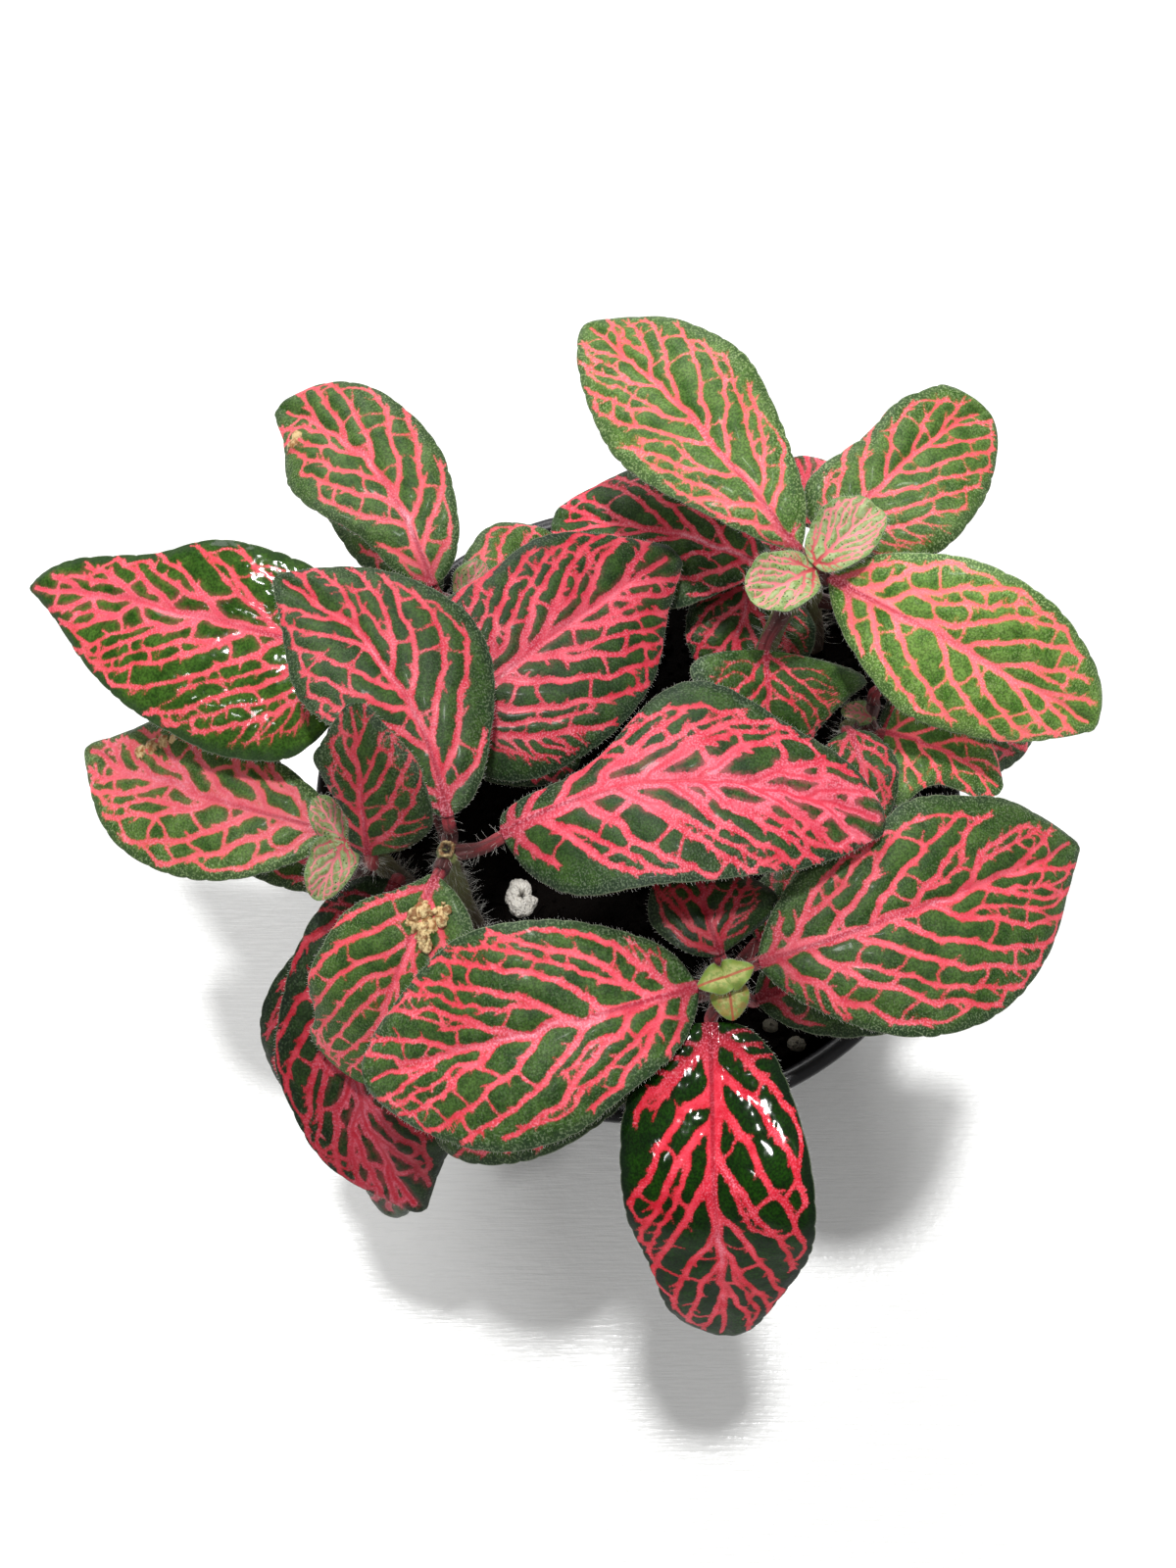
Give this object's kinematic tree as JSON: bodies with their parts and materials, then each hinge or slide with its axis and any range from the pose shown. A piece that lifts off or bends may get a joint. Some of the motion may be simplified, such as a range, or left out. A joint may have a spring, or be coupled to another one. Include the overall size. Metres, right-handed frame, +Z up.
{
  "type": "potted nerve plant",
  "caption": "Nerve plant with pink-veined dark green leaves on hairy stems, in soil in a round black nursery pot with drain holes; stands on its base.",
  "frame": {"origin": "middle of the pot's underside, on the surface it stands on", "axes": "+Z up through the pot; -Y is the near side of the picture's view and +X is its right"},
  "size_m": [0.1401, 0.1323, 0.1145],
  "materials": {
    "pot_plastic": "thin black plastic, satin, with a soft sheen on the rim",
    "peat_soil": "damp black peat crumbs, matt",
    "perlite": "white foamed grains, rough and matt",
    "stem": "brown-green and maroon, ridged, with fine white hairs",
    "leaf": "dark green, puckered, with a coral pink net of veins and a satin sheen",
    "young_leaf": "pale green with fine pink veins and a short fringe of hairs"
  },
  "bodies": {
    "root": {"pot": "pot_plastic", "soil": "peat_soil", "perlite_1": "perlite", "perlite_2": "perlite", "perlite_3": "perlite", "perlite_4": "perlite", "perlite_5": "perlite", "perlite_6": "perlite", "stem_back": "stem", "stem_back_left": "stem", "stem_back_right": "stem", "stem_centre": "stem", "stem_front": "stem", "stem_front_left": "stem", "stem_left": "stem", "stem_left_back": "stem", "stem_right": "stem", "leaf_back_1": "leaf", "leaf_back_2": "leaf", "leaf_back_3": "leaf", "leaf_back_4": "leaf", "leaf_back_5": "leaf", "leaf_back_left_1": "leaf", "leaf_back_left_2": "leaf", "leaf_back_left_3": "leaf", "leaf_back_right_1": "leaf", "leaf_back_right_2": "leaf", "leaf_back_right_3": "leaf", "leaf_back_right_4": "leaf", "leaf_back_right_5": "young_leaf", "leaf_back_right_6": "young_leaf", "leaf_centre_1": "leaf", "leaf_centre_2": "leaf", "leaf_centre_3": "leaf", "leaf_centre_4": "leaf", "leaf_front_1": "leaf", "leaf_front_2": "leaf", "leaf_front_3": "leaf", "leaf_front_4": "leaf", "leaf_front_5": "leaf", "leaf_front_6": "leaf", "leaf_front_7": "leaf", "leaf_front_left_1": "leaf", "leaf_front_left_2": "leaf", "leaf_front_left_3": "leaf", "leaf_left_1": "leaf", "leaf_left_2": "leaf", "leaf_left_3": "leaf", "leaf_left_back_1": "leaf", "leaf_left_back_2": "leaf", "leaf_left_back_3": "leaf", "leaf_right_1": "leaf", "leaf_right_2": "leaf", "leaf_right_3": "leaf", "leaf_right_4": "leaf"}
  },
  "joints": []
}
